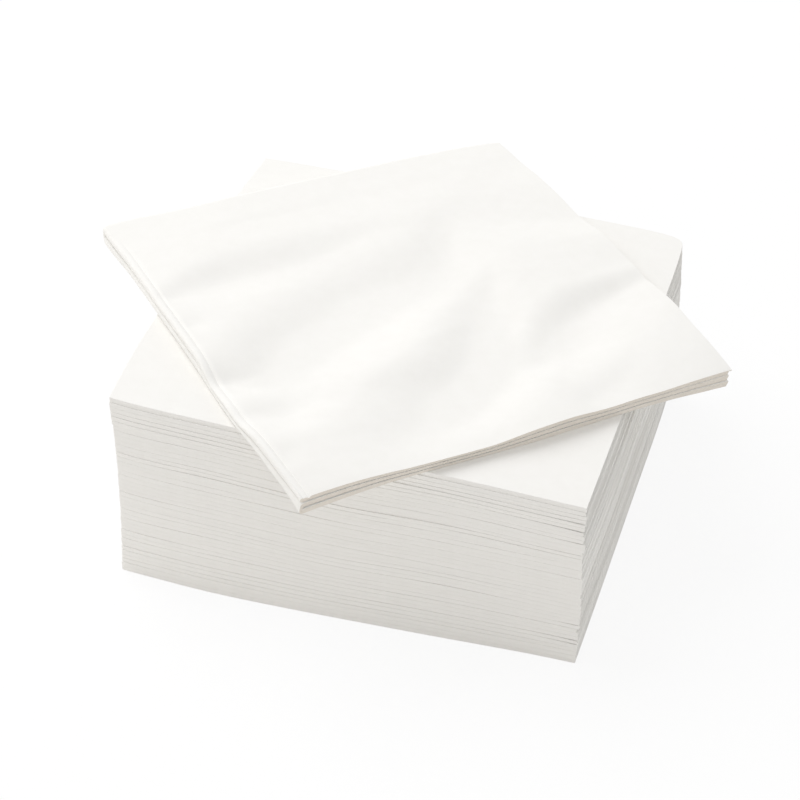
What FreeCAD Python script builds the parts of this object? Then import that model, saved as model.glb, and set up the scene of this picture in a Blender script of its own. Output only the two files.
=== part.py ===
import FreeCAD, Part
import math
import os
from collections import namedtuple

# A stack of square paper napkins, each folded in four. Forty lie pressed into a
# straight block, and one more lies loose on top, turned by about half a right angle.
# Millimetres. The origin is the middle of the block's base, +Z is up, and the front
# of the stack faces -Y.

Folding = namedtuple("Folding", "leaf first_gap second_gap outer_creases inner_creases")

# The open sheet that every napkin is folded from
SHEET_SIDE = 330.0

# A napkin pressed in the block: one layer of tissue, then the air that is left
# inside the first fold, inside the second fold and under the next napkin. Each fold
# is a few flat creases, counted here for half a turn.
BLOCK_NAPKINS = 40
PRESSED_LEAF = 0.30
PRESSED_FIRST_GAP = 0.13
PRESSED_SECOND_GAP = 0.18
PRESSED_CLEARANCE = 0.04
PRESSED_OUTER_CREASES = 4
PRESSED_INNER_CREASES = 2
PRESSED_SECOND_CREASES = 5

# How far the pile is from a true block. Folds are springy, so its top stands higher
# over the first folds, on the left, and over the second folds, at the front. Napkins
# at half height stand to the right, and each strays a little from its neighbours.
RISE_OVER_FIRST_FOLDS = 5.2
RISE_OVER_SECOND_FOLDS = 1.2
PILE_BOW = 1.5
PILE_STRAY = 0.35
STRAY_PACE_X = 2.3
STRAY_PACE_Y = 1.7

# The loose napkin has filled with air, and its upper half stands in soft waves
LOOSE_LEAF = 0.40
LOOSE_FIRST_GAP = 1.45
LOOSE_SECOND_GAP = 0.60
LOOSE_CLEARANCE = 0.05
LOOSE_OUTER_CREASES = 7
LOOSE_INNER_CREASES = 5
LOOSE_WAVES = 4
LOOSE_WAVE_TURN = 10.0
LOOSE_CENTRE_X = -2.9
LOOSE_CENTRE_Y = 5.6
LOOSE_TURN = 44.0

ORIGIN = FreeCAD.Vector(0, 0, 0)
X_AXIS = FreeCAD.Vector(1, 0, 0)
Y_AXIS = FreeCAD.Vector(0, 1, 0)
Z_AXIS = FreeCAD.Vector(0, 0, 1)
HALF_TURN = 180.0


def strip_height(folding):
    """Two leaves and the air between them: the sheet after its first fold."""
    return 2 * folding.leaf + folding.first_gap


def napkin_height(folding):
    """Four leaves with their air: the sheet after its second fold."""
    return 2 * strip_height(folding) + folding.second_gap


def strip_width(folding):
    """From the first fold to the open edges, so that both leaves use up the sheet."""
    bend_radius = (folding.leaf + folding.first_gap) / 2
    return strip_height(folding) / 2 + (SHEET_SIDE - math.pi * bend_radius) / 2


def free_length(radius):
    """What is left of the sheet beyond the second fold, for a leaf that turns at this radius."""
    return (SHEET_SIDE - math.pi * radius) / 2


def crease_points(radius, creases):
    """Corners of a half circle that bulges to the left, from its far side to its near side."""
    angles = [math.pi * step / creases for step in range(creases + 1)]
    return [(-radius * math.sin(angle), radius * math.cos(angle)) for angle in angles]


def strip_outline(folding):
    """The once-folded strip in section, as pairs of x and distance from the second fold's axis."""
    outer = strip_height(folding) / 2
    inner = folding.first_gap / 2
    middle = folding.second_gap / 2 + outer
    left = -strip_width(folding) / 2 + outer
    right = strip_width(folding) / 2
    outside = [(left + x, middle + y) for x, y in crease_points(outer, folding.outer_creases)]
    inside = [(left + x, middle + y) for x, y in crease_points(inner, folding.inner_creases)]
    outside = [(right, middle + outer)] + outside + [(right, middle - outer)]
    inside = [(right, middle + inner)] + inside + [(right, middle - inner)]
    return outside + inside[::-1]


def closed_wire(points):
    """A closed outline through these corners."""
    return Part.makePolygon(points + points[:1])


def skinned(stations):
    """Solid with flat faces from each outline to the next, closed by the first and last outline."""
    faces = [Part.Face(closed_wire(stations[0])), Part.Face(closed_wire(stations[-1]))]
    for near, far in zip(stations, stations[1:]):
        for here in range(len(near)):
            after = (here + 1) % len(near)
            faces.append(Part.Face(closed_wire([near[here], near[after], far[after], far[here]])))
    shell = Part.Shell(faces)
    shell.sewShape()
    return Part.Solid(shell)


def pressed_napkin(folding):
    """A napkin of the block, skinned along its lower half, round its second fold and back."""
    outline = strip_outline(folding)
    axis_y = napkin_height(folding) / 2 - SHEET_SIDE / 4
    axis_z = napkin_height(folding) / 2
    lower_end = [FreeCAD.Vector(x, axis_y + free_length(reach), axis_z - reach) for x, reach in outline]
    upper_end = [FreeCAD.Vector(x, axis_y + free_length(reach), axis_z + reach) for x, reach in outline]
    stations = [lower_end]
    for step in range(PRESSED_SECOND_CREASES + 1):
        angle = math.pi * step / PRESSED_SECOND_CREASES
        stations.append([
            FreeCAD.Vector(x, axis_y - reach * math.sin(angle), axis_z - reach * math.cos(angle))
            for x, reach in outline
        ])
    stations.append(upper_end)
    return skinned(stations)


def block_pitch(folding):
    """From one napkin to the next at the pile's middle, so that they clear where it is lowest."""
    rise = (RISE_OVER_FIRST_FOLDS + RISE_OVER_SECOND_FOLDS) / (BLOCK_NAPKINS - 1)
    return napkin_height(folding) + PRESSED_CLEARANCE + rise / 2


def stray(number):
    """How far napkin number 1, 2, 3 and so on, counted from the bottom, lies off the middle."""
    share = (number - 0.5) / BLOCK_NAPKINS
    shift_x = PILE_BOW * math.sin(math.pi * share) + PILE_STRAY * math.sin(STRAY_PACE_X * number)
    shift_y = PILE_STRAY * math.sin(STRAY_PACE_Y * number)
    return FreeCAD.Vector(shift_x, shift_y, 0)


def settle(shape, number, pitch):
    """Tip a shape as far as the pile has risen by this napkin, and lift it to its height."""
    share = (number - 1) / (BLOCK_NAPKINS - 1)
    half_side = SHEET_SIDE / 4
    to_left = math.atan(share * RISE_OVER_FIRST_FOLDS / 2 / half_side)
    to_front = math.atan(share * RISE_OVER_SECOND_FOLDS / 2 / half_side)
    shape.rotate(ORIGIN, Y_AXIS, math.degrees(to_left))
    shape.rotate(ORIGIN, X_AXIS, -math.degrees(to_front))
    shape.translate(Z_AXIS * (number - 1) * pitch)


def swing(section, centre, degrees):
    """Turn a section about a line along X: the solid that it sweeps, and where it ends."""
    swept = section.revolve(centre, X_AXIS, degrees)
    arrived = section.copy()
    arrived.rotate(centre, X_AXIS, degrees)
    return swept, arrived


def end_offcut(folding, end_y, side):
    """What is trimmed off the open end of the lower (-1) or upper (1) half. The cut slants,
    because the leaves that turn tightest in the second fold reach furthest."""
    axis_z = napkin_height(folding) / 2
    middle = axis_z - strip_height(folding) / 2
    reaches = (0, 2 * axis_z)
    corners = [
        FreeCAD.Vector(-SHEET_SIDE, end_y + free_length(reach) - free_length(middle), axis_z + side * reach)
        for reach in reaches
    ]
    beyond = corners[0].y + strip_height(folding)
    corners.append(FreeCAD.Vector(-SHEET_SIDE, beyond, corners[1].z))
    corners.append(FreeCAD.Vector(-SHEET_SIDE, beyond, corners[0].z))
    return Part.Face(closed_wire(corners)).extrude(X_AXIS * 2 * SHEET_SIDE)


def loose_napkin(folding):
    """The napkin on top: flat below, round its second fold, and back in soft waves."""
    strip = strip_height(folding)
    axis_z = napkin_height(folding) / 2
    axis = FreeCAD.Vector(0, axis_z - SHEET_SIDE / 4, axis_z)
    run = free_length(axis_z - strip / 2)
    spare = free_length(axis_z - strip) - run

    corners = [FreeCAD.Vector(x, axis.y, axis_z - reach) for x, reach in strip_outline(folding)]
    section = Part.Face(closed_wire(corners))
    pieces = [section.extrude(Y_AXIS * (run + spare))]
    fold, section = swing(section, axis, -HALF_TURN)
    pieces.append(fold)

    wave_turn = math.radians(LOOSE_WAVE_TURN)
    wave_radius = run / (4 * wave_turn * LOOSE_WAVES)
    here = axis + Z_AXIS * (axis_z - strip / 2)
    heading = 0.0
    for wave in range(LOOSE_WAVES):
        for side, turns in ((1, 1), (-1, 2), (1, 1)):
            normal = FreeCAD.Vector(0, -math.sin(heading), math.cos(heading))
            centre = here + normal * side * wave_radius
            piece, section = swing(section, centre, side * turns * LOOSE_WAVE_TURN)
            pieces.append(piece)
            heading += side * turns * wave_turn
            normal = FreeCAD.Vector(0, -math.sin(heading), math.cos(heading))
            here = centre - normal * side * wave_radius
    pieces.append(section.extrude(Y_AXIS * spare))

    napkin = pieces[0].fuse(pieces[1:])
    napkin = napkin.cut([end_offcut(folding, axis.y + run, -1), end_offcut(folding, here.y, 1)])
    return napkin.Solids[0]


def turn_loose(napkin, top_of_napkin):
    """Turn the loose napkin over and about, and move it onto the last napkin of the block."""
    turned = napkin.mirror(ORIGIN, Y_AXIS)
    turned.rotate(ORIGIN, Z_AXIS, LOOSE_TURN)
    turned.translate(FreeCAD.Vector(LOOSE_CENTRE_X, LOOSE_CENTRE_Y, top_of_napkin + LOOSE_CLEARANCE))
    return turned


os.makedirs("parts", exist_ok=True)

pressed = Folding(
    PRESSED_LEAF, PRESSED_FIRST_GAP, PRESSED_SECOND_GAP, PRESSED_OUTER_CREASES, PRESSED_INNER_CREASES
)
pitch = block_pitch(pressed)
block_napkin = pressed_napkin(pressed)
for number in range(1, BLOCK_NAPKINS + 1):
    napkin = block_napkin.copy()
    napkin.translate(stray(number))
    settle(napkin, number, pitch)
    napkin.exportStep("parts/napkin_%02d.step" % number)

puffed = Folding(LOOSE_LEAF, LOOSE_FIRST_GAP, LOOSE_SECOND_GAP, LOOSE_OUTER_CREASES, LOOSE_INNER_CREASES)
loose = turn_loose(loose_napkin(puffed), napkin_height(pressed))
settle(loose, BLOCK_NAPKINS, pitch)
loose.exportStep("parts/loose_napkin.step")
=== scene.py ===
import math

import bmesh
import bpy
import numpy as np
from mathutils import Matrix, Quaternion, Vector


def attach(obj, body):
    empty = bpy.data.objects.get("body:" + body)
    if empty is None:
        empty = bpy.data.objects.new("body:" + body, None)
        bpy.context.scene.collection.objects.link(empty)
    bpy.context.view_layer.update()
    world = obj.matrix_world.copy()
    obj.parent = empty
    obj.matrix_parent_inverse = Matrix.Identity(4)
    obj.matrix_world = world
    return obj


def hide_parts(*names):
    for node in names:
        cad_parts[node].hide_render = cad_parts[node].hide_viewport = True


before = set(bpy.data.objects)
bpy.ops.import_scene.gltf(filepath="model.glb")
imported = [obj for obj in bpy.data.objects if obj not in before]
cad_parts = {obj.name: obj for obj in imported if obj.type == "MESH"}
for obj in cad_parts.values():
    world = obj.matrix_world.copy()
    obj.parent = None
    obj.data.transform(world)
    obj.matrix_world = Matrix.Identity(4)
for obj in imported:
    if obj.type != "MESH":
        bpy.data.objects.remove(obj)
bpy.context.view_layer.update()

# The studio: a matt white floor that runs out of sight under a plain white sky. One wide soft
# lamp stands behind the stack on its left, a weak warm one fills in from the front, and a
# weak cool one lights the right side.
MM = 0.001
WHITE = (1, 1, 1, 1)
FLOOR_SIDE = 8.0
FLOOR_BELOW = 0.05 * MM
FLOOR_COLOUR = (0.94, 0.927, 0.905, 1)
# the share of the floor's white that the eye sees even in full shadow
FLOOR_SEEN_WHITE = 0.86
SKY_LIGHT = 0.67
SKY_SEEN = 1.0
LAMPS = {
    # name: heading and height in degrees, distance and width in metres, watts, colour
    "window": (158, 51, 2.0, 1.9, 21.6, (1, 1, 1)),
    "fill": (-85, 10, 1.8, 1.6, 0.8, (1, 0.76, 0.52)),
    "side": (15, 15, 2.0, 1.6, 1.8, (0.80, 0.91, 1)),
}
LAMP_AIM = Vector((0, 0, 50 * MM))

# the camera's heading, height and roll in degrees, counted from straight in front
VIEW_HEADING, VIEW_HEIGHT, VIEW_ROLL = 15.77, 37.22, 1.10
VIEW_DISTANCE = 936.9 * MM
VIEW_AIM = Vector((-1.7, -9.9, 40.0)) * MM
VIEW_LENS = 117.12


def toward(heading, height):
    """Unit vector at this heading, counted from +X to +Y, and height, both in degrees."""
    heading, height = math.radians(heading), math.radians(height)
    flat = math.cos(height)
    return Vector((flat * math.cos(heading), flat * math.sin(heading), math.sin(height)))


def shader_tree(owner):
    """Empties the nodes of a material or world, and returns a function that adds one to them."""
    owner.use_nodes = True
    tree = owner.node_tree
    tree.nodes.clear()

    def add(kind, inputs=(), **settings):
        node = tree.nodes.new(kind)
        for name, value in settings.items():
            setattr(node, name, value)
        for socket, value in dict(inputs).items():
            if isinstance(value, bpy.types.NodeSocket):
                tree.links.new(value, node.inputs[socket])
            else:
                node.inputs[socket].default_value = value
        return node

    return add


def seen_directly(add):
    """1 for light that reaches the eye straight, by a gloss or through glass, and 0 for the rest."""
    path = add("ShaderNodeLightPath").outputs
    either = add(
        "ShaderNodeMath", {0: path["Is Camera Ray"], 1: path["Is Glossy Ray"]}, operation="MAXIMUM"
    )
    whole = add(
        "ShaderNodeMath",
        {0: either.outputs[0], 1: path["Is Transmission Ray"]},
        operation="MAXIMUM",
    )
    return whole.outputs[0]


sky = bpy.data.worlds.new("sky")
bpy.context.scene.world = sky
add = shader_tree(sky)
lighting = add("ShaderNodeBackground", {"Color": WHITE, "Strength": SKY_LIGHT})
shown = add("ShaderNodeBackground", {"Color": WHITE, "Strength": SKY_SEEN})
mixed = add(
    "ShaderNodeMixShader", {0: seen_directly(add), 1: lighting.outputs[0], 2: shown.outputs[0]}
)
add("ShaderNodeOutputWorld", {"Surface": mixed.outputs[0]})

floor_paint = bpy.data.materials.new("floor_paint")
add = shader_tree(floor_paint)
matt = add("ShaderNodeBsdfDiffuse", {"Color": FLOOR_COLOUR})
shadowed = 1 - FLOOR_SEEN_WHITE
seen_matt = add("ShaderNodeBsdfDiffuse", {"Color": (shadowed, shadowed, shadowed, 1)})
glow = add("ShaderNodeEmission", {"Color": WHITE, "Strength": FLOOR_SEEN_WHITE})
seen = add("ShaderNodeAddShader", {0: seen_matt.outputs[0], 1: glow.outputs[0]})
mixed = add("ShaderNodeMixShader", {0: seen_directly(add), 1: matt.outputs[0], 2: seen.outputs[0]})
add("ShaderNodeOutputMaterial", {"Surface": mixed.outputs[0]})

bm = bmesh.new()
bmesh.ops.create_grid(bm, x_segments=1, y_segments=1, size=FLOOR_SIDE / 2)
bmesh.ops.translate(bm, verts=bm.verts, vec=(0, 0, -FLOOR_BELOW))
floor_mesh = bpy.data.meshes.new("floor")
bm.to_mesh(floor_mesh)
bm.free()
floor_mesh.materials.append(floor_paint)
floor = bpy.data.objects.new("floor", floor_mesh)
bpy.context.collection.objects.link(floor)

for name, (heading, height, distance, width, watts, tint) in LAMPS.items():
    lamp_data = bpy.data.lights.new(name, "AREA")
    lamp_data.shape = "DISK"
    lamp_data.size = width
    lamp_data.energy = watts
    lamp_data.color = tint
    lamp = bpy.data.objects.new(name, lamp_data)
    direction = toward(heading, height)
    lamp.location = LAMP_AIM + direction * distance
    lamp.rotation_euler = (-direction).to_track_quat("-Z", "Y").to_euler()
    bpy.context.collection.objects.link(lamp)

back = toward(VIEW_HEADING - 90, VIEW_HEIGHT)
camera_data = bpy.data.cameras.new("camera")
camera_data.lens = VIEW_LENS
camera = bpy.data.objects.new("camera", camera_data)
camera.location = VIEW_AIM + back * VIEW_DISTANCE
turn = (-back).to_track_quat("-Z", "Y") @ Quaternion((0, 0, 1), math.radians(VIEW_ROLL))
camera.rotation_euler = turn.to_euler()
bpy.context.collection.objects.link(camera)
bpy.context.scene.camera = camera
bpy.context.scene.view_settings.view_transform = "Standard"

# Forty of the napkins lie pressed into a block. Each is one 33 cm square of soft white
# tissue, folded in half twice by machine: the first fold lies on the left, the second at
# the front, and the four leaf edges show on the right and at the back.
SHEET_SIDE = 330.0
HALF_SIDE = SHEET_SIDE / 4
BLOCK_NAPKINS = 40
BLOCK_SEED = 11
# a leaf's thickness at either end of the pile, and the air inside the first fold, inside the
# second fold and under the next napkin
LEAF_ON_TOP, LEAF_AT_BOTTOM = 0.24, 0.36
FIRST_GAP = 0.13
SECOND_GAP = 0.18
CLEARANCE = 0.006
PITCH = 1.762
PITCH_STRAY = 0.09

# Folds are springy: the pile's top stands higher over the first folds, on the left, and over
# the second folds, at the front, a twist lifts its front left and back right corners, and
# napkins at half height stand to the right, least at the front. The rise grows over all
# napkins but the first, and the soft bumps begin over the lowest few.
RISE_OVER_FIRST_FOLDS = 5.2
RISE_OVER_SECOND_FOLDS = 1.2
RISING_NAPKINS = BLOCK_NAPKINS - 1
FLAT_NAPKINS = 3
PILE_TWIST = 0.85
PILE_BOW = (0.4, 1.3)
BOW_AT_FIRST_FOLDS = 0.1
# How far a napkin strays, at its open edges and at its folds. Neighbours stray alike, until a
# new group begins, by this many times the usual at the most, and a little more each alone.
RIGHT_STRAY = 0.34
FOLD_STRAY = 0.10
NEW_GROUP = 0.3
STRAY_ALONE = 0.25
STRAY_MOST = 1.5
# how much further the upper side of a napkin's rim stands out than its lower side
FRONT_TILT, SIDE_TILT = 0.20, 0.25

# The soft bumps that run through the pile: their height in every level, what is added at half
# height, how much they change from one level to the next, how many of them there are, how
# long they are and where they begin
LAYER_UNEVENNESS = 0.08
LAYER_WAVES = 0.48
LAYER_CHANGE = 0.15
LAYER_BUMPS = 4
LAYER_BUMP_LENGTHS = (60, 210)
LAYER_BUMP_PHASES = (0, 6.3)
# how far the left side leans out at the top, and stands in at the foot
LEFT_LEAN, LEFT_FOOT = 1.2, 0.7
# the unevenness of open edges and of folds, and the lengths of its waves on each side
EDGE_UNEVENNESS = 0.09
RIGHT_EDGE_WAVES = (330, 190, 120)
BACK_EDGE_WAVES = (310, 170, 110)
FOLD_UNEVENNESS = 0.08
FRONT_FOLD_WAVES = (240, 97, 51)
LEFT_FOLD_WAVES = (220, 89, 47)
# how far the pile stands out of a true square: the low front, from left to right, the middle
# of its left and back sides, and the front's left end
FRONT_BULGE_PLACES = (-83, -46, 0, 37, 83)
FRONT_BULGE = (1.2, 3.8, 3.1, 2.0, 0.5)
FRONT_BULGE_SOFTNESS = 12.0
LEFT_BULGE = 2.2
BACK_BULGE = 2.0
FRONT_OUT = 0.6
# How far its upright corners stand in, and how far from the corner that reaches: the back right
# one from the right, from the back and round its tip, and the front left one from the front.
# Near the back right one the napkins also stray less.
RIGHT_CORNER_IN = 0.8
RIGHT_CORNER_REACH = 16.0
RIGHT_CORNER_CALM = 20.0
FRONT_CORNER_IN, FRONT_CORNER_REACH = 1.3, 10.0
BACK_CORNER_IN, BACK_CORNER_REACH = 1.4, 4.5
BACK_CORNER_ROUND, BACK_CORNER_ROUND_REACH = 1.1, 3.0
# How square the second folds are pressed, from 2 for a round one up: the range, a fold that is
# pressed less and the share of those, and how it varies along the fold
FOLD_SQUARE = (30.0, 400.0)
FOLD_SQUARE_LOOSEST = 16.0
LOOSE_FOLDS = 0.10
FOLD_SQUARE_STRAY = 0.25
FOLD_SQUARE_WAVES = (210, 77)
# Some napkins lie pressed thin at their open edges, or by their second fold, so that a slit
# shows over them. On the right these are napkins in groups, near the top and the bottom. At
# the back and the front a slit opens where a random size is above a least one. A slit closes
# close behind the edge, and at the back also before the right corner, by these powers.
RIGHT_SLITS = {
    38: 0.20, 36: 0.40, 34: 0.48, 33: 0.16, 31: 0.34, 26: 0.10, 10: 0.36, 9: 0.12, 6: 0.48, 5: 0.40,
}
BACK_SLIT, BACK_SLIT_LEAST, SLIT_MOST = 0.30, 0.1, 0.48
FRONT_SLIT, FRONT_SLIT_LEAST, FRONT_SLIT_MOST = 0.03, 0.4, 0.04
SLIT_REACH = 24
BACK_SLIT_END = 4

# marks near the second fold, counted in the distance from the fold to its outer bend
FOLD_STEPS = np.array([0.0, 0.42, 0.80, 0.95, 1.0, 1.05, 1.22, 1.60, 2.10])
FIRST_FOLD_STEPS = [0.0, 0.10, 0.19, 0.27, 0.35]
BLOCK_STEP = 8.2
# where the stretch beside a fold, and the one beside an open edge, are split again
NEAR_SPLITS, FAR_SPLITS = (0.12, 0.4), (0.5, 0.15)


def marks(close_steps, step):
    """Distances over half of the sheet, from a fold to the open edge: close together at both."""
    far = SHEET_SIDE / 2
    start = close_steps[-1]
    middle = np.linspace(start, far, max(2, round((far - start) / step) + 1))
    near = [start + (middle[1] - start) * share for share in NEAR_SPLITS]
    last = [far - (middle[1] - start) * share for share in FAR_SPLITS]
    return np.array(sorted({*close_steps, *near, *middle.tolist(), *last}))


def both_ways(less, more):
    """Marks of both halves in one row, from the far edge of one to the far edge of the other."""
    return np.concatenate([-less[:0:-1], more])


def open_sheet(name, across, along):
    """The flat square sheet as a grid with these marks, and the place of each vertex on it in mm."""
    bm = bmesh.new()
    columns, rows = len(across) - 1, len(along) - 1
    bmesh.ops.create_grid(bm, x_segments=columns, y_segments=rows, size=1)
    mesh = bpy.data.meshes.new(name)
    bm.to_mesh(mesh)
    bm.free()
    co = np.zeros(len(mesh.vertices) * 3)
    mesh.vertices.foreach_get("co", co)
    co = co.reshape(-1, 3)
    s = across[np.rint((co[:, 0] + 1) / 2 * columns).astype(int)]
    t = along[np.rint((co[:, 1] + 1) / 2 * rows).astype(int)]
    corner = np.zeros(len(mesh.loops), int)
    mesh.loops.foreach_get("vertex_index", corner)
    flat = mesh.uv_layers.new(name="flat_sheet")
    flat.data.foreach_set("uv", np.column_stack([s[corner], t[corner]]).ravel() / SHEET_SIDE + 0.5)
    return mesh, s, t


def folded(s, t, leaf, first_gap, second_gap, squareness):
    """Points of the sheet after both folds, middle on the origin: first fold at -X, second at -Y."""
    strip = 2 * leaf + first_gap
    bend = (leaf + first_gap) / 2
    width = strip / 2 + (SHEET_SIDE - math.pi * bend) / 2
    turn = np.clip(s / bend, -math.pi / 2, math.pi / 2)
    x = strip / 2 - width / 2 - bend * np.cos(turn) + np.maximum(np.abs(s) - math.pi * bend / 2, 0)
    reach = second_gap / 2 + strip / 2 + bend * np.sin(turn)
    turn = np.clip(t / reach, -math.pi / 2, math.pi / 2)
    cos, sin = np.cos(turn), np.sin(turn)
    swell = (np.abs(cos) ** squareness + np.abs(sin) ** squareness) ** (-1 / squareness)
    axis = strip + second_gap / 2
    y = axis - HALF_SIDE - reach * cos * swell + np.maximum(np.abs(t) - math.pi * reach / 2, 0)
    return x, y, axis + reach * sin * swell


def aired(z, thickness, leaf, first_gap, second_gap):
    """Heights in a folded sheet, with the air between its leaves let out or in to this thickness."""
    air = 2 * first_gap + second_gap
    gaps = [first_gap, second_gap, first_gap]
    levels, below = [0.0, leaf], [0.0, 0.0]
    for gap in gaps:
        levels += [levels[-1] + gap, levels[-1] + gap + leaf]
        below += [below[-1] + gap] * 2
    air_below = np.interp(z, levels, below)
    return z - air_below + air_below * (thickness - 4 * leaf) / air


def uneven(rng, place, lengths):
    """A slow irregular wave of height about 1 along these places, made of waves this long."""
    total = np.zeros_like(place, dtype=float)
    for length in lengths:
        total += np.sin(place * 2 * math.pi / length + rng.uniform(0, 2 * math.pi))
    return total / len(lengths) ** 0.5


def eased(value):
    """0 below 0, 1 above 1, and a soft step between."""
    value = np.clip(value, 0, 1)
    return value * value * (3 - 2 * value)


def pile_rise(x, y):
    """How much higher than its middle the whole pile stands at this place."""
    level = -RISE_OVER_FIRST_FOLDS / 2 * x / HALF_SIDE - RISE_OVER_SECOND_FOLDS / 2 * y / HALF_SIDE
    return level + PILE_TWIST * x * y / HALF_SIDE**2


# a soft curve is worked out in steps of this length, and on past both of its ends
CURVE_STEP = 1.0
CURVE_MARGIN = 60


def soft_curve(at, places, heights, softness=4.0):
    """A smooth line through these points, its corners rounded over about this length."""
    fine = np.arange(places[0] - CURVE_MARGIN, places[-1] + CURVE_MARGIN, CURVE_STEP)
    span = np.arange(-3 * round(softness), 3 * round(softness) + 1)
    kernel = np.exp(-((span / softness) ** 2))
    line = np.convolve(np.interp(fine, places, heights), kernel / kernel.sum(), mode="same")
    edge = len(span)
    return np.interp(at, fine[edge:-edge], line[edge:-edge])


def layer_waves(seed):
    """Headings, lengths and phases of the soft bumps of each level in the pile, from the floor
    to the top, and how far each level strays from an even pitch."""
    rng = np.random.default_rng(seed)
    headings = rng.uniform(0, math.pi, LAYER_BUMPS)
    lengths = rng.uniform(*LAYER_BUMP_LENGTHS, LAYER_BUMPS)
    changes = LAYER_CHANGE * rng.normal(size=(BLOCK_NAPKINS + 1, LAYER_BUMPS))
    levels = PITCH_STRAY * np.clip(rng.normal(size=BLOCK_NAPKINS + 1), -2, 2)
    levels[[0, BLOCK_NAPKINS]] = 0
    phases = rng.uniform(*LAYER_BUMP_PHASES, LAYER_BUMPS) + np.cumsum(changes, axis=0)
    return headings, lengths, phases, levels


def strays(seed):
    """How far each napkin's open edges and its folds lie off their places, and how its right
    side and its front tilt. Neighbours lie alike, in groups of a few."""
    rng = np.random.default_rng(seed)
    places = rng.normal(size=(4, BLOCK_NAPKINS + 1))
    alone = STRAY_ALONE * rng.normal(size=places.shape)
    for row in places:
        for number in range(1, len(row)):
            if rng.random() > NEW_GROUP:
                row[number] = row[number - 1]
    return np.clip(places, -STRAY_MOST, STRAY_MOST) + alone


def slits(seed):
    """Heights of the slits over each napkin at the back and at the front, of all sizes."""
    back, front = np.random.default_rng(seed).normal(size=(2, BLOCK_NAPKINS + 1))
    back = np.clip(BACK_SLIT * (back - BACK_SLIT_LEAST), 0.0, SLIT_MOST)
    front = np.clip(FRONT_SLIT * (front - FRONT_SLIT_LEAST), 0.0, FRONT_SLIT_MOST)
    return back, front


HEADINGS, LENGTHS, PHASES, LEVEL_STRAYS = layer_waves(BLOCK_SEED)
OPEN_EDGE_STRAYS, FOLD_STRAYS, SIDE_TILTS, FRONT_TILTS = strays(BLOCK_SEED)
BACK_SLITS, FRONT_SLITS = slits(BLOCK_SEED)


def pile_level(number, x, y):
    """Height of the pile with this many napkins at this place."""
    bumps = np.zeros_like(x)
    for heading, length, phase in zip(HEADINGS, LENGTHS, PHASES[number]):
        along = x * math.cos(heading) + y * math.sin(heading)
        bumps += np.sin(along * 2 * math.pi / length + phase)
    off_floor = min(1.0, number / FLAT_NAPKINS)
    share = number / RISING_NAPKINS
    at_half_height = 4 * share * max(0, 1 - share)
    waves = off_floor * LAYER_UNEVENNESS + LAYER_WAVES * at_half_height
    return number * PITCH + LEVEL_STRAYS[number] + share * pile_rise(x, y) + waves * bumps


def finish_sheet(name, mesh, places, leaf, materials):
    """Moves the sheet to its folded place, in mm, gives it its thickness and makes it an object.
    Faces at the cut edges stay flat, so that they aren't shaded as if the edge were round. The
    second material, if there is one, goes on the cut edges; on the loose napkin its colour is painted
    shade."""
    on_edge = np.zeros(len(mesh.vertices), bool)
    uses = {}
    for face in mesh.polygons:
        for key in face.edge_keys:
            uses[key] = uses.get(key, 0) + 1
    for key, count in uses.items():
        if count == 1:
            on_edge[list(key)] = True
    mesh.vertices.foreach_set("co", (np.column_stack(places) * MM).ravel())
    mesh.update()
    mesh.shade_smooth()
    for face in mesh.polygons:
        if any(on_edge[vertex] for vertex in face.vertices):
            face.use_smooth = False
    for material in materials:
        mesh.materials.append(material)
    piece = bpy.data.objects.new(name, mesh)
    bpy.context.collection.objects.link(piece)
    thick = piece.modifiers.new("leaf", "SOLIDIFY")
    if np.ndim(leaf):
        shares = piece.vertex_groups.new(name="leaf_thickness")
        for vertex, share in enumerate(leaf / leaf.max()):
            shares.add([vertex], float(share), "REPLACE")
        thick.vertex_group = shares.name
    thick.thickness = float(np.max(leaf)) * MM
    thick.offset = 0
    thick.use_even_offset = True
    thick.material_offset_rim = len(materials) - 1
    return piece


# The paper: the colours of its darker and lighter clouds of fibres, how fine the clouds, the
# crepe and the fibres are, counted over the side of the sheet, and how high the crepe stands
TISSUE_DARKER, TISSUE_LIGHTER = (0.918, 0.905, 0.875, 1), (0.938, 0.926, 0.899, 1)
CLOUD_FINENESS = 60.0
CLOUD_RANGE = (0.25, 0.75)
CREPE_FINENESS = (520.0, 90.0, 1.0)
FIBRE_FINENESS = 900.0
CREPE_STRENGTH = 0.5
CREPE_HEIGHT = 0.03 * MM


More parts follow.
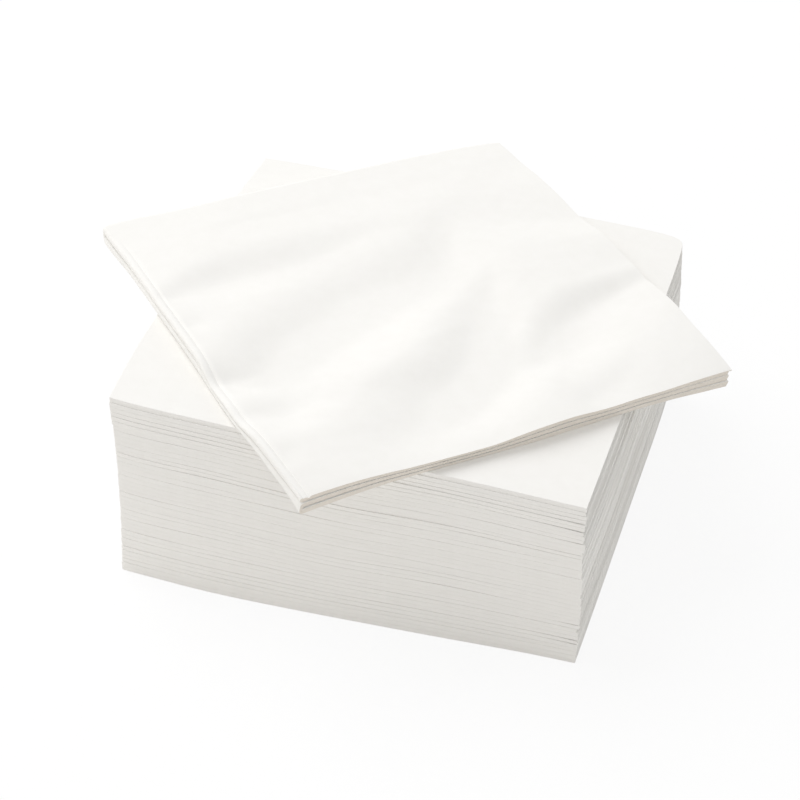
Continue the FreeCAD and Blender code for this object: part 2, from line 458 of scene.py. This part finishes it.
def tissue(name, darker, lighter):
    """Soft, matt, slightly warm white tissue with cloudy fibres, and fine crepe lines across it."""
    paper = bpy.data.materials.new(name)
    add = shader_tree(paper)
    sheet = add("ShaderNodeUVMap", uv_map="flat_sheet").outputs[0]
    clouds = add(
        "ShaderNodeTexNoise",
        {"Vector": sheet, "Scale": CLOUD_FINENESS, "Detail": 3.0, "Roughness": 0.6},
    )
    low, high = CLOUD_RANGE
    shade = add("ShaderNodeMapRange", {0: clouds.outputs[0], 1: low, 2: high, 3: 0.0, 4: 1.0})
    colour = add(
        "ShaderNodeMix",
        {0: shade.outputs[0], 6: darker, 7: lighter},
        data_type="RGBA",
    )
    stretched = add("ShaderNodeMapping", {"Vector": sheet, "Scale": CREPE_FINENESS})
    crepe = add("ShaderNodeTexNoise", {"Vector": stretched.outputs[0], "Scale": 1.0, "Detail": 2.0})
    fibres = add("ShaderNodeTexNoise", {"Vector": sheet, "Scale": FIBRE_FINENESS, "Detail": 3.0})
    rough = add("ShaderNodeMath", {0: crepe.outputs[0], 1: fibres.outputs[0]}, operation="ADD")
    bump = add(
        "ShaderNodeBump",
        {"Height": rough.outputs[0], "Strength": CREPE_STRENGTH, "Distance": CREPE_HEIGHT},
    )
    surface = add(
        "ShaderNodeBsdfPrincipled",
        {
            "Base Color": colour.outputs[2],
            "Normal": bump.outputs[0],
            "Roughness": 0.95,
            "Specular IOR Level": 0.15,
        },
    )
    add("ShaderNodeOutputMaterial", {"Surface": surface.outputs[0]})
    return paper


tissue_paper = tissue("tissue", TISSUE_DARKER, TISSUE_LIGHTER)
first_marks = marks(FIRST_FOLD_STEPS, BLOCK_STEP)
for number in range(1, BLOCK_NAPKINS + 1):
    name = "pressed_napkin_%02d" % number
    rng = np.random.default_rng(BLOCK_SEED + number)
    share = (number - 0.5) / BLOCK_NAPKINS
    leaf = LEAF_AT_BOTTOM + share * (LEAF_ON_TOP - LEAF_AT_BOTTOM)
    bend_at = math.pi / 4 * (3 * leaf + 2 * FIRST_GAP + SECOND_GAP) / 2
    second_marks = marks((bend_at * FOLD_STEPS).tolist(), BLOCK_STEP)
    across, along = both_ways(first_marks, first_marks), both_ways(second_marks, second_marks)
    mesh, s, t = open_sheet(name, across, along)
    squareness = math.exp(rng.uniform(*np.log(FOLD_SQUARE)))
    squareness = FOLD_SQUARE_LOOSEST if rng.random() < LOOSE_FOLDS else squareness
    squareness = squareness * (1 + FOLD_SQUARE_STRAY * uneven(rng, s, FOLD_SQUARE_WAVES))
    x, y, z = folded(s, t, leaf, FIRST_GAP, SECOND_GAP, squareness)

    # how far along the leaf a place is, and shares that fade out from each side to the opposite
    from_left = np.clip(np.abs(s) / (SHEET_SIDE / 2), 0, 1)
    from_front = np.clip(np.abs(t) / (SHEET_SIDE / 2), 0, 1)
    at_right, at_left = from_left**3, (1 - from_left) ** 3
    at_back, at_front = from_front**3, (1 - from_front) ** 3

    open_stray = RIGHT_STRAY * OPEN_EDGE_STRAYS[number]
    fold_stray = FOLD_STRAY * FOLD_STRAYS[number]
    right_edge = EDGE_UNEVENNESS * uneven(rng, t, RIGHT_EDGE_WAVES)
    back_edge = EDGE_UNEVENNESS * uneven(rng, s, BACK_EDGE_WAVES)
    front_fold = FOLD_UNEVENNESS * uneven(rng, x, FRONT_FOLD_WAVES)
    left_fold = FOLD_UNEVENNESS * uneven(rng, y, LEFT_FOLD_WAVES)
    upward = z / (4 * leaf + 2 * FIRST_GAP + SECOND_GAP) - 0.5
    calm = 1 - np.exp((y - HALF_SIDE) / RIGHT_CORNER_CALM)
    from_corner = np.hypot(SHEET_SIDE / 2 - np.abs(s), SHEET_SIDE / 2 - np.abs(t))
    corner_round = BACK_CORNER_ROUND * np.exp(-from_corner / BACK_CORNER_ROUND_REACH)

    bow = np.interp(y, (-HALF_SIDE, HALF_SIDE), PILE_BOW) * math.sin(math.pi * share)
    moved_x = bow * (BOW_AT_FIRST_FOLDS + (1 - BOW_AT_FIRST_FOLDS) * from_left)
    corner_in = RIGHT_CORNER_IN * np.exp((y - HALF_SIDE) / RIGHT_CORNER_REACH)
    moved_x += (right_edge + open_stray * calm - corner_in) * at_right
    left_bulge = LEFT_BULGE * (1 - np.clip(np.abs(y) / HALF_SIDE, 0, 1) ** 3)
    left_lean = LEFT_LEAN * share**4 - LEFT_FOOT * (1 - share)
    moved_x += (left_fold + fold_stray / 2 - left_bulge - left_lean) * at_left
    moved_x += SIDE_TILT * SIDE_TILTS[number] * upward * at_right - corner_round

    back_bulge = BACK_BULGE * (1 - np.clip(np.abs(x) / HALF_SIDE, 0, 1) ** 3)
    back_in = BACK_CORNER_IN * np.exp((x - HALF_SIDE) / BACK_CORNER_REACH)
    moved_y = (back_edge + open_stray * calm / 2 + back_bulge - back_in) * at_back
    front_round = FRONT_CORNER_IN * (1 + math.sin(math.pi * share))
    front_in = front_round * np.exp(-(x + HALF_SIDE) / FRONT_CORNER_REACH)
    front_in = front_in - FRONT_OUT * (1 - x / HALF_SIDE) / 2
    front_bulge = soft_curve(x, FRONT_BULGE_PLACES, FRONT_BULGE, FRONT_BULGE_SOFTNESS)
    moved_y += (front_fold + fold_stray + front_in - front_bulge * (1 - share)) * at_front
    moved_y -= FRONT_TILT * FRONT_TILTS[number] * upward * at_front + corner_round
    x, y = x + moved_x, y + moved_y

    below, above = pile_level(number - 1, x, y), pile_level(number, x, y)
    back_slit = BACK_SLITS[number] * from_front**SLIT_REACH * (1 - from_left**BACK_SLIT_END)
    slit = np.minimum(RIGHT_SLITS.get(number, 0) * from_left**SLIT_REACH + back_slit, SLIT_MOST)
    slit = slit + FRONT_SLITS[number] * (1 - from_front) ** SLIT_REACH
    if number == BLOCK_NAPKINS:
        slit = 0
    z = below + aired(z, above - below - CLEARANCE - slit, leaf, FIRST_GAP, SECOND_GAP)
    napkin = finish_sheet(name, mesh, (x, y, z), leaf, [tissue_paper])
    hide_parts("napkin_%02d" % number)
    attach(napkin, "root")

# One more napkin lies loose on the block, turned by half a right angle and shaken full of
# air. Its first fold faces the front left and its second the back left. Soft hollows run
# over its top leaf, and its free corners hang a little past the block.
LOOSE_LEAF = 0.40
LOOSE_FIRST_GAP = 1.45
LOOSE_SECOND_GAP = 0.60
LOOSE_TURN = math.radians(44.0)
LOOSE_CENTRE = (-2.9, 5.6)
LOOSE_CLEARANCE = 0.05
LOOSE_FOLD_SQUARE = 2.3
# Its thickness at its corners, in the order left, back, right and front, how far they hang down
# at this distance past the block, and the thickness at which the top leaf meets the lower ones
LOOSE_THICKNESS = (6.4, 5.4, 6.2, 6.2)
LOOSE_DROOP = (0.5, 2.5, 5.4, 5.4)
DROOP_REACH = 32.0
LOOSE_THINNEST, THINNEST_SHARPNESS = 1.9, 2.5
# its open near edge, from left to right, what is left there of the hollows, and the rise along
# its second fold
NEAR_EDGE_PLACES = (-83, -68, -44, -13, 2, 18, 33, 52, 71, 83)
NEAR_EDGE_THICKNESS = (7.5, 6.8, 4.6, 4.2, 5.8, 6.4, 5.3, 5.5, 7.2, 8.0)
NEAR_EDGE_OUT = (2.3, 3.5, 4.6, 5.1, 5.1, 4.5, 4.1, 4.1, 3.3, 1.9)
NEAR_EDGE_REACH = 20.0
HOLLOW_AT_NEAR_EDGE = 0.2
FAR_EDGE_RISE = 0.9
FAR_EDGE_REACH = 15.0
# an edge that stands out of a true square pulls the leaf with it, by this power of the distance
# from the middle
PULL_POWER = 1.5
# how far the first fold, and the open edges opposite it, stand out of a true square
FOLD_EDGE_PLACES = (-83, -65, -38, -12, 11, 26, 37, 48, 59, 70, 83)
FOLD_EDGE_OUT = (1.5, 3.0, 4.6, 3.7, 2.9, 2.6, 2.2, 1.7, 1.3, 1.6, 1.6)
OPEN_EDGE_PLACES = (-83, -58, -47, -35, 0, 70, 83)
OPEN_EDGE_OUT = (-0.2, 0.2, 1.0, 1.6, 0.6, -1.0, -1.2)
# How far the edge of each leaf is drawn in, from the lowest leaf up. At its cut edges the plies
# of the tissue part, so that the three lower leaves fill the edge, all but slits of this
# height in all, which close towards the right corner.
LEAVES_IN = (0.8, 0.8, 0.8, 0.0)
LEAVES_IN_NEAR = (0.7, 3.7, 3.6, 0.0)
LEAF_SPREAD_REACH = 7.0
LEAF_SPREAD = (1.05, 1.0, 0.95)
LEAF_SPREAD_AT_FOLD = 0.35
LEAF_SPREAD_FROM, LEAF_SPREAD_OVER = 0.3, 0.9
EDGE_SLITS, EDGE_SLITS_AT_RIGHT = 0.78, 0.25
RIGHT_END_FROM, RIGHT_END_REACH = 35, 35
LEAF_LEVEL_MARGIN = 0.1
# how the air is shared out over the gaps between the leaves, from the lowest gap up
LOOSE_AIR = (0.41, 0.12, 0.47, 0.0)
LOOSE_AIR_AT_FOLD = (0.38, 0.20, 0.42, 0.0)
LOOSE_AIR_AT_EDGES = (0.38, 0.46, 0.16, 0.0)
# how far its back left edge, along the second fold, stands out, how its left corner is rounded
# and pressed thin, where the second fold begins to tell, and the crease beside the first fold
FAR_EDGE_PLACES = (-83, -70, -60, -48, -10, 55, 75, 83)
FAR_EDGE_OUT = (2.9, 2.5, 1.2, 0.3, 0.3, -1.0, -0.5, -0.5)
LEFT_CORNER_IN, LEFT_CORNER_REACH = 0.9, 2.0
LEFT_CORNER_PRESSED = 0.5
SECOND_FOLD_FROM, SECOND_FOLD_REACH = 55.0, 25.0
FOLD_CREASE_AT, FOLD_CREASE_DEPTH, FOLD_CREASE_WIDTH = 3.1, 0.55, 0.6
# the cut edge is painted darker than the leaf: painted shade, standing in for the shade that its
# parted plies cast on each other
CUT_EDGE_PAINTED_SHADE_DARKER, CUT_EDGE_PAINTED_SHADE_LIGHTER = (0.77, 0.72, 0.65, 1), (0.82, 0.77, 0.70, 1)

# Hollows of the top leaf. Each has the heading that it runs along, the line where its
# steep side begins, its lowest line with the depth there, and how far it runs out beyond
HOLLOWS = [
    (
        5,
        [(-84, 37), (-70, 47), (-50, 53), (-22, 53), (5, 50), (30, 48)],
        [(-84, 32, 0.2), (-60, 34, 2.5), (-22, 34, 2.1), (6, 40, 0.5), (28, 36, 0.3)],
        31,
    ),
    (
        28,
        [(-84, -1), (-76, 3), (-65, 19), (-39, 26), (-14, 35), (14, 38), (32, 53)],
        [
            (-84, -18, 3.1), (-68, -26, 4.1), (-53, -16, 4.8), (-35, -6, 5.0),
            (-12, 2, 4.7), (16, 7, 3.8), (26, 17, 2.9), (40, 39, 0.4),
        ],
        29,
    ),
    (
        45,
        [(-47, -43), (-42, -37), (-20, -32), (-4, -11), (14, -2), (31, 7)],
        [
            (-47, -85, 1.2), (-29, -74, 3.7), (-14, -65, 5.6), (1, -55, 5.4),
            (13, -40, 5.3), (21, -23, 4.5), (32, -6, 1.4), (37, 5, 0.0),
        ],
        23,
    ),
    (
        14,
        [(14, -38), (23, -34), (37, -19), (52, -16), (67, -16), (88, -15)],
        [
            (17, -57, 0.5), (26, -52, 3.1), (39, -42, 4.5), (54, -33, 3.6),
            (69, -28, 3.1), (88, -24, 1.4),
        ],
        25,
    ),
    (
        38,
        [(8, -80), (20, -74), (32, -65), (47, -54), (62, -48)],
        [(24, -88, 1.7), (31, -79, 2.3), (42, -77, 1.4), (52, -69, 0.4), (66, -58, 0.0)],
        15,
    ),
    (
        0,
        [(36, 52), (60, 48), (88, 46)],
        [(36, 34, 0.0), (48, 28, 0.7), (64, 24, 1.0), (88, 18, 1.6)],
        14,
    ),
    (
        0,
        [(40, 14), (60, 7), (88, 6)],
        [(40, -10, 0.0), (54, -16, 0.0), (88, -14, 1.2)],
        15,
    ),
    (
        52,
        [(50, -78), (60, -65), (85, -33)],
        [(60, -82, 0.7), (68, -70, 0.1), (92, -38, 0.1)],
        12,
    ),
    (
        -4,
        [(-84, -29), (-66, -28)],
        [(-84, -42, 1.3), (-70, -44, 3.0), (-56, -44, 0.5)],
        16,
    ),
    (
        -12,
        [(-84, -47), (-56, -55)],
        [(-84, -58, 0.1), (-69, -63, 0.6), (-46, -66, 0.0)],
        12,
    ),
    (
        1,
        [(-60, 68), (30, 70)],
        [(-52, 66, 0.0), (-38, 64, 0.2), (0, 63, 0.2), (26, 63, 0.1)],
        10,
    ),
]
# how late the steep side drops, its least width, and how much deeper all hollows lie
STEEP_LATE = 1.3
STEEP_WIDTH = 2
HOLLOW_DEPTH = 1.17
# Where the top leaf is pinched at the first fold: place, depth, length and width. Each begins
# softly over this length, and its floor is this wide.
PINCH_START = 3.0
PINCH_FLOOR = 0.4
PINCHES = [
    (-82, -19, 1.6, 11, 3.2),
    (-82, 31, 1.0, 9, 2.8),
    (-82, -39, 0.6, 6, 2.2),
    (-82, -50, 0.4, 6, 2.0),
    (-82, 12, 0.4, 5, 2.0),
    (-82, -63, 0.5, 6, 2.2),
]
# Dents and rises of the top leaf: place, depth (less than 0 is a rise), length and width
DENTS = [
    (-78, 13, 0.6, 4, 4),
    (-79, -66, 0.6, 4, 4),
    (-66, -72, 0.4, 5, 4),
    (-56, 22, -0.3, 24, 7),
]

# marks near both folds, and the distance between marks on the top leaf and on the others
LOOSE_FOLD_STEPS = [0.0, 0.35, 0.7, 1.1, 1.5, 1.9, 2.4, 2.9, 3.4, 3.9]
LOOSE_FIRST_STEPS = [0.0, 0.25, 0.5, 0.75, 1.0, 1.25, 1.5, 1.8, 2.1, 2.4, 2.7, 3.0, 3.3, 3.6, 4.0]
LOOSE_STEP_SHOWN = 1.35
LOOSE_STEP_UNDER = 4.2


def between_corners(values, u, v):
    """Blend of the values at the left, back, right and front corners."""
    left, back, right, front = values
    a, b = (u / HALF_SIDE + 1) / 2, (v / HALF_SIDE + 1) / 2
    return (1 - a) * b * left + a * b * back + a * (1 - b) * right + (1 - a) * (1 - b) * front


def hollow(u, v, heading, side, lowest, run_out):
    """Depth of one hollow: down its steep side to its lowest line, and up again beyond."""
    cos, sin = math.cos(math.radians(heading)), math.sin(math.radians(heading))

    def line(points):
        along = [pu * cos + pv * sin for pu, pv in points]
        return soft_curve(u * cos + v * sin, along, [pv * cos - pu * sin for pu, pv in points])

    top, bottom = line(side), line([point[:2] for point in lowest])
    depth_places = [pu * cos + pv * sin for pu, pv, depth in lowest]
    depth = soft_curve(u * cos + v * sin, depth_places, [point[2] for point in lowest])
    here = v * cos - u * sin
    down = eased((top - here) / np.maximum(top - bottom, STEEP_WIDTH)) ** STEEP_LATE
    out = np.clip((bottom - here) / run_out, 0, 1)
    return depth * down * (1 - (out + eased(out)) / 2)


def top_relief(u, v):
    """Height of the top leaf over a plain one: its hollows, dents and waved near edge."""
    relief = np.zeros_like(u)
    for heading, side, lowest, run_out in HOLLOWS:
        relief -= HOLLOW_DEPTH * hollow(u, v, heading, side, lowest, run_out)
    for at_u, at_v, depth, length, width in DENTS:
        relief -= depth * np.exp(-(((u - at_u) / length) ** 2) - ((v - at_v) / width) ** 2)
    for at_u, at_v, depth, length, width in PINCHES:
        begun = eased((u - at_u) / PINCH_START)
        away = np.maximum(u - at_u, 0) / length + np.hypot(v - at_v, PINCH_FLOOR) / width
        relief -= depth * begun * np.exp(-away)
    near = soft_curve(u, NEAR_EDGE_PLACES, NEAR_EDGE_THICKNESS)
    near = near - between_corners(LOOSE_THICKNESS, u, -HALF_SIDE)
    at_edge = np.exp(-np.maximum(v + HALF_SIDE, 0) / NEAR_EDGE_REACH)
    far = FAR_EDGE_RISE * np.exp(-np.maximum(HALF_SIDE - v, 0) / FAR_EDGE_REACH)
    return relief * (1 - (1 - HOLLOW_AT_NEAR_EDGE) * at_edge) + near * at_edge + far


def between_leaves(z, middles, actual):
    """Heights in the folded sheet, once the middle of each leaf has gone to its actual height."""
    moved = actual[0].copy()
    for low, high, low_now, high_now in zip(middles, middles[1:], actual, actual[1:]):
        moved += np.clip((z - low) / (high - low), 0, 1) * (high_now - low_now)
    return moved


shown_across = marks(LOOSE_FIRST_STEPS, LOOSE_STEP_SHOWN)
under_across = marks(LOOSE_FIRST_STEPS, LOOSE_STEP_UNDER)
shown_along = marks(LOOSE_FOLD_STEPS, LOOSE_STEP_SHOWN)
under_along = marks(LOOSE_FOLD_STEPS, LOOSE_STEP_UNDER)
across, along = both_ways(under_across, shown_across), both_ways(under_along, shown_along)
mesh, s, t = open_sheet("loose_folded_napkin", across, along)
u, v, z = folded(s, t, LOOSE_LEAF, LOOSE_FIRST_GAP, LOOSE_SECOND_GAP, LOOSE_FOLD_SQUARE)
# the napkin is turned over, so that its second fold lies at the back
v = -v
mesh.flip_normals()
on_top = (s > 0) & (t > 0)
leaf_pitches = [LOOSE_LEAF + gap for gap in (LOOSE_FIRST_GAP, LOOSE_SECOND_GAP, LOOSE_FIRST_GAP)]
nominal = LOOSE_LEAF / 2 + np.cumsum([0, *leaf_pitches])

near_out = soft_curve(u, NEAR_EDGE_PLACES, NEAR_EDGE_OUT) - np.interp(z, nominal, LEAVES_IN_NEAR)
far_out = soft_curve(u, FAR_EDGE_PLACES, FAR_EDGE_OUT)
fold_out = soft_curve(v, FOLD_EDGE_PLACES, FOLD_EDGE_OUT)
open_out = soft_curve(v, OPEN_EDGE_PLACES, OPEN_EDGE_OUT) - np.interp(z, nominal, LEAVES_IN)
from_near, from_far, from_fold, from_open = v + HALF_SIDE, HALF_SIDE - v, u + HALF_SIDE, HALF_SIDE - u
at_left_corner = np.exp(-np.hypot(from_fold, from_far) / LEFT_CORNER_REACH)
corner_in = LEFT_CORNER_IN * at_left_corner
pulled_near = near_out * np.clip(-v / HALF_SIDE, 0, 1) ** PULL_POWER
pulled_far = far_out * np.clip(v / HALF_SIDE, 0, 1) ** PULL_POWER
pulled_fold = fold_out * np.clip(-u / HALF_SIDE, 0, 1) ** PULL_POWER
pulled_open = open_out * np.clip(u / HALF_SIDE, 0, 1) ** PULL_POWER
u, v = u - pulled_fold + pulled_open + corner_in, v - pulled_near + pulled_far - corner_in

thickness = between_corners(LOOSE_THICKNESS, u, v) + top_relief(u, v)
over_thinnest = np.logaddexp(0, (thickness - LOOSE_THINNEST) * THINNEST_SHARPNESS)
thickness = LOOSE_THINNEST + over_thinnest / THINNEST_SHARPNESS
at_near = np.exp(-((np.maximum(from_near, 0) / LEAF_SPREAD_REACH) ** 2))
at_open = np.exp(-((np.maximum(from_open, 0) / LEAF_SPREAD_REACH) ** 2))
at_second_fold = eased((v - SECOND_FOLD_FROM) / SECOND_FOLD_REACH)
at_edge = np.maximum(at_near, at_open) * (1 - at_second_fold)
past_fold = eased((from_fold - LEAF_SPREAD_FROM) / LEAF_SPREAD_OVER)
spread = at_edge * (LEAF_SPREAD_AT_FOLD + (1 - LEAF_SPREAD_AT_FOLD) * past_fold)
at_right_end = eased((u - RIGHT_END_FROM) / RIGHT_END_REACH)
slits_open = EDGE_SLITS + (EDGE_SLITS_AT_RIGHT - EDGE_SLITS) * at_right_end
filled = np.maximum((thickness - LOOSE_LEAF - slits_open) / len(LEAF_SPREAD), LOOSE_LEAF)
leaves = [LOOSE_LEAF + spread * (filled * share - LOOSE_LEAF) for share in LEAF_SPREAD]
leaves.append(np.full_like(u, LOOSE_LEAF))
air = thickness - sum(leaves)
middles, level = [], np.zeros_like(u)
for leaf, gap, fold_gap, edge_gap in zip(leaves, LOOSE_AIR, LOOSE_AIR_AT_FOLD, LOOSE_AIR_AT_EDGES):
    middles.append(level + leaf / 2)
    level = level + leaf + air * (gap + at_second_fold * (fold_gap - gap) + at_edge * (edge_gap - gap))
on_leaf = [z > middle - LEAF_LEVEL_MARGIN for middle in nominal[:0:-1]]
leaf_here = np.select(on_leaf, leaves[:0:-1], leaves[0])
leaf_here = leaf_here * (1 - LEFT_CORNER_PRESSED * at_left_corner)
crease = FOLD_CREASE_DEPTH * np.exp(-(((s - FOLD_CREASE_AT) / FOLD_CREASE_WIDTH) ** 2)) * on_top
crease = crease * (1 - at_second_fold)

x = LOOSE_CENTRE[0] + u * math.cos(LOOSE_TURN) - v * math.sin(LOOSE_TURN)
y = LOOSE_CENTRE[1] + u * math.sin(LOOSE_TURN) + v * math.cos(LOOSE_TURN)
held_x, held_y = np.clip(x, -HALF_SIDE, HALF_SIDE), np.clip(y, -HALF_SIDE, HALF_SIDE)
overhang = np.hypot(x - held_x, y - held_y) / DROOP_REACH
bottom = pile_level(BLOCK_NAPKINS, held_x, held_y) + LOOSE_CLEARANCE
bottom = bottom - between_corners(LOOSE_DROOP, u, v) * overhang**2
z = bottom + between_leaves(z, nominal, middles) - crease
# the cut edges of the loose napkin get painted shade: a darker tissue colour for the shade between its
# parted plies
painted_shade_edge = tissue("tissue_edge_painted_shade", CUT_EDGE_PAINTED_SHADE_DARKER, CUT_EDGE_PAINTED_SHADE_LIGHTER)
loose = finish_sheet("loose_folded_napkin", mesh, (x, y, z), leaf_here, [tissue_paper, painted_shade_edge])
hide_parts("loose_napkin")
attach(loose, "root")
